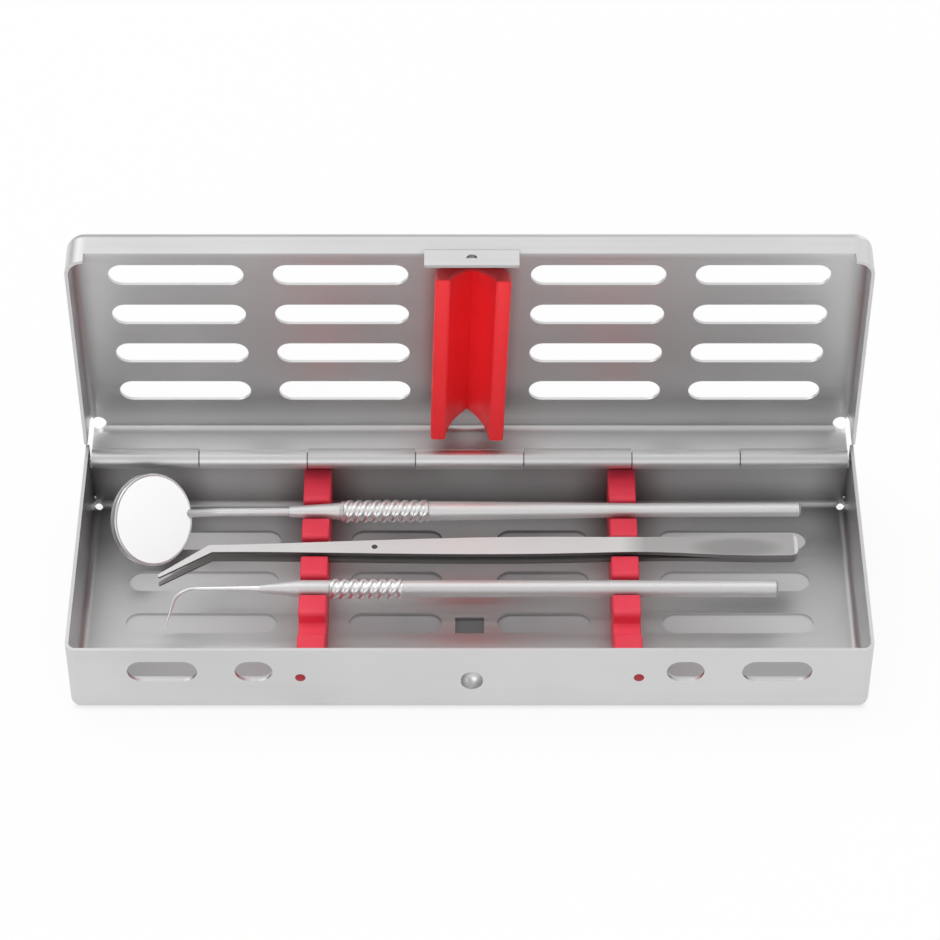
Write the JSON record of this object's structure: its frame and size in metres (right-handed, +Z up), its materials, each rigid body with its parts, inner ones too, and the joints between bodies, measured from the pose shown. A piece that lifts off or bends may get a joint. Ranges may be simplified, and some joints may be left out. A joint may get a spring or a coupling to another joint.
{
  "type": "dental instrument cassette",
  "caption": "Perforated sheet-metal tray with a hinged lid, soft notched rails and a soft hold-down, holding a mouth mirror, tweezers and a probe.",
  "frame": {"origin": "centre of the tray's underside, on the surface it stands on", "axes": "+Z up, +X along the tray's length towards the instruments' tail ends, +Y from the front wall to the hinge"},
  "size_m": [0.1848, 0.0773, 0.0828],
  "materials": {
    "steel": "satin folded stainless sheet",
    "lid_steel": "satin folded stainless sheet",
    "pin_steel": "drawn stainless wire",
    "handle_steel": "satin turned stainless steel",
    "tweezers_steel": "satin stainless strip",
    "polished_steel": "polished stainless steel",
    "mirror_glass": "front-surface mirror glass",
    "silicone": "matt red silicone",
    "silicone_lid": "matt red silicone"
  },
  "bodies": {
    "tray": {"base_tray": "steel", "hinge_pin": "pin_steel", "rail_left": "silicone", "rail_right": "silicone"},
    "lid": {"lid": "lid_steel", "hold_down_strip": "silicone_lid"},
    "mirror": {"mirror_handle": "handle_steel", "mirror_stem": "handle_steel", "mirror_cup": "polished_steel", "mirror_glass": "mirror_glass"},
    "tweezers": {"tweezers_lower_arm": "tweezers_steel", "tweezers_guide_pin": "handle_steel"},
    "tweezers_arm": {"tweezers_upper_arm": "tweezers_steel"},
    "probe": {"probe_handle": "handle_steel", "probe_tip": "polished_steel"}
  },
  "joints": [
    {"name": "lid_hinge", "type": "hinge", "parent": "tray", "child": "lid", "pos_m": [0, 0.0305, 0.0182], "axis": [-1, 0, 0], "range_deg": [-88, 0]},
    {"name": "mirror_lift", "type": "slide", "parent": "tray", "child": "mirror", "axis": [0, 0, 1], "range_m": [0, 0.06]},
    {"name": "tweezers_lift", "type": "slide", "parent": "tray", "child": "tweezers", "axis": [0, 0, 1], "range_m": [0, 0.06]},
    {"name": "probe_lift", "type": "slide", "parent": "tray", "child": "probe", "axis": [0, 0, 1], "range_m": [0, 0.06]},
    {"name": "tweezers_squeeze", "type": "hinge", "parent": "tweezers", "child": "tweezers_arm", "pos_m": [0.05999, 0.00647, 0.0124], "axis": [0.0126, -0.9999, 0], "range_deg": [0, 0.9], "stiffness_Nm_per_rad": 1.5}
  ]
}
